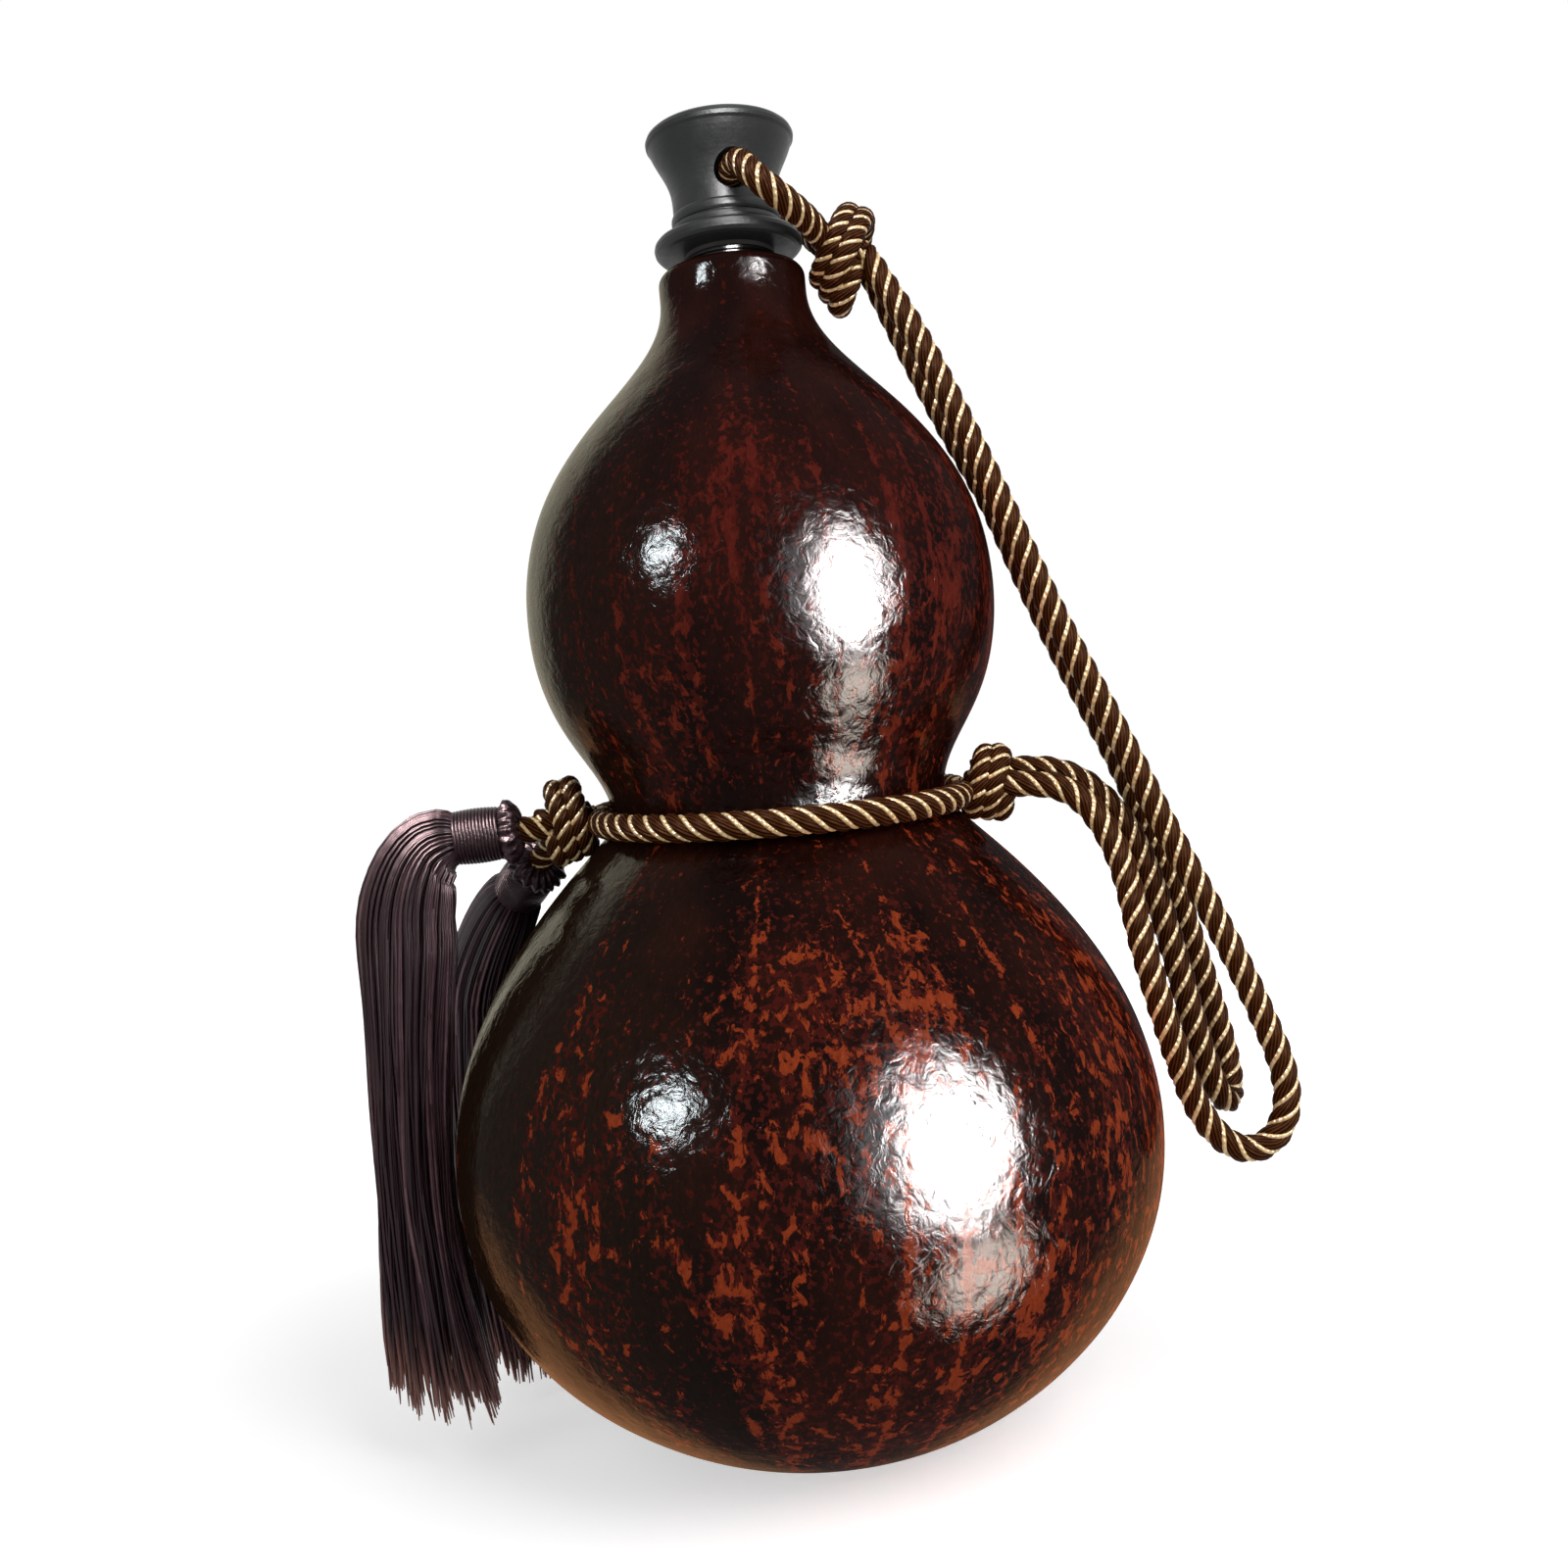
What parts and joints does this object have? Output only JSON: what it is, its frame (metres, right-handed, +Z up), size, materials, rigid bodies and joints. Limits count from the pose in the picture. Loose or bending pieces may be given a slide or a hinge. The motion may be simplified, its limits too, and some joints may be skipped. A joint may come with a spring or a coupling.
{
  "type": "gourd water bottle",
  "caption": "Two-bellied dried gourd flask with a push-in stopper, a twisted cord tied round its waist and to the stopper as a carrying strap, and hanging tassels.",
  "frame": {"origin": "centre of the flat base, on the gourd's own axis, at the height of the surface it stands on", "axes": "+Z up along the gourd's axis, +X towards the strap's knot at the waist, -X towards the tassels, -Y towards the pictured side"},
  "size_m": [0.1765, 0.135, 0.25],
  "materials": {
    "lacquered_gourd": "glossy",
    "wax": "satin",
    "sleeve_black": "glossy",
    "stopper_black": "satin",
    "seal_rubber": "matte",
    "brown_cord": "satin",
    "plum_silk": "satin"
  },
  "bodies": {
    "bottle": {"gourd_shell": "lacquered_gourd", "wax_lining": "wax", "mouth_sleeve": "sleeve_black", "outer_strap_cord": "brown_cord", "inner_strap_cord": "brown_cord", "waist_cord_front": "brown_cord", "waist_cord_rear": "brown_cord", "strap_knot": "brown_cord", "tassel_knot": "brown_cord"},
    "stopper": {"stopper_head": "stopper_black", "stopper_plug": "sleeve_black", "flange_gasket": "seal_rubber", "upper_seal_ring": "seal_rubber", "lower_seal_ring": "seal_rubber", "stopper_cord_loop": "brown_cord", "stopper_knot": "brown_cord"},
    "front_tassel": {"front_tassel_cord": "brown_cord", "front_tassel_cap": "plum_silk", "front_tassel_binding": "plum_silk", "front_tassel_skirt": "plum_silk"},
    "rear_tassel": {"rear_tassel_cord": "brown_cord", "rear_tassel_cap": "plum_silk", "rear_tassel_binding": "plum_silk", "rear_tassel_skirt": "plum_silk"}
  },
  "joints": [
    {"name": "stopper_pull", "type": "slide", "parent": "bottle", "child": "stopper", "axis": [0, 0, 1], "range_m": [0, 0.03], "deforming": ["outer_strap_cord", "inner_strap_cord"]},
    {"name": "front_tassel_swing", "type": "hinge", "parent": "bottle", "child": "front_tassel", "pos_m": [-0.0476, -0.0054, 0.1184], "axis": [-0.9986, -0.0523, 0], "range_deg": [-5, 25]},
    {"name": "rear_tassel_swing", "type": "hinge", "parent": "bottle", "child": "rear_tassel", "pos_m": [-0.0457, 0.0026, 0.1142], "axis": [-0.9114, 0.4115, 0], "range_deg": [-25, 5]}
  ]
}
